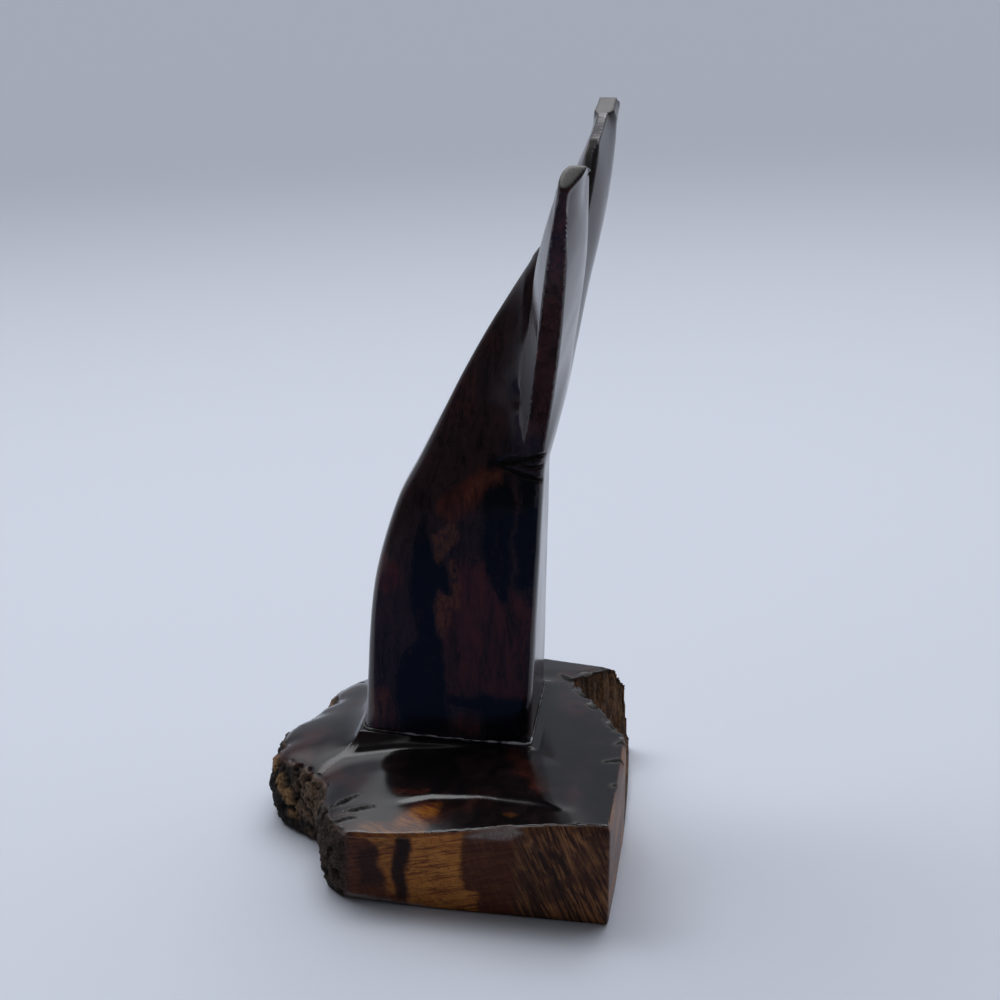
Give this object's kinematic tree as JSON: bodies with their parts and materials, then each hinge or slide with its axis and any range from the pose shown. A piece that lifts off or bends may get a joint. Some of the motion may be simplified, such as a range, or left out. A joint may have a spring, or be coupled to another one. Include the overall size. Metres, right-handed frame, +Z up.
{
  "type": "carved wooden whale tail",
  "caption": "Whale's tail with raised flukes carved in polished dark wood, standing on a flat-bottomed burl slab with sawn faces and a rough natural edge.",
  "frame": {"origin": "on the table, under the middle of the tail's foot", "axes": "+Z up; X along the fluke span, towards the base's long sawn end at +X; -Y towards the keel and the natural edge"},
  "size_m": [0.1048, 0.0847, 0.1622],
  "materials": {
    "polished_heartwood": "polished",
    "burl_slab": "polished top, sawn and rough natural sides",
    "dowel_wood": "plain"
  },
  "bodies": {
    "root": {"whale_tail": "polished_heartwood", "base": "burl_slab", "dowel_front": "dowel_wood", "dowel_rear": "dowel_wood"}
  },
  "joints": []
}
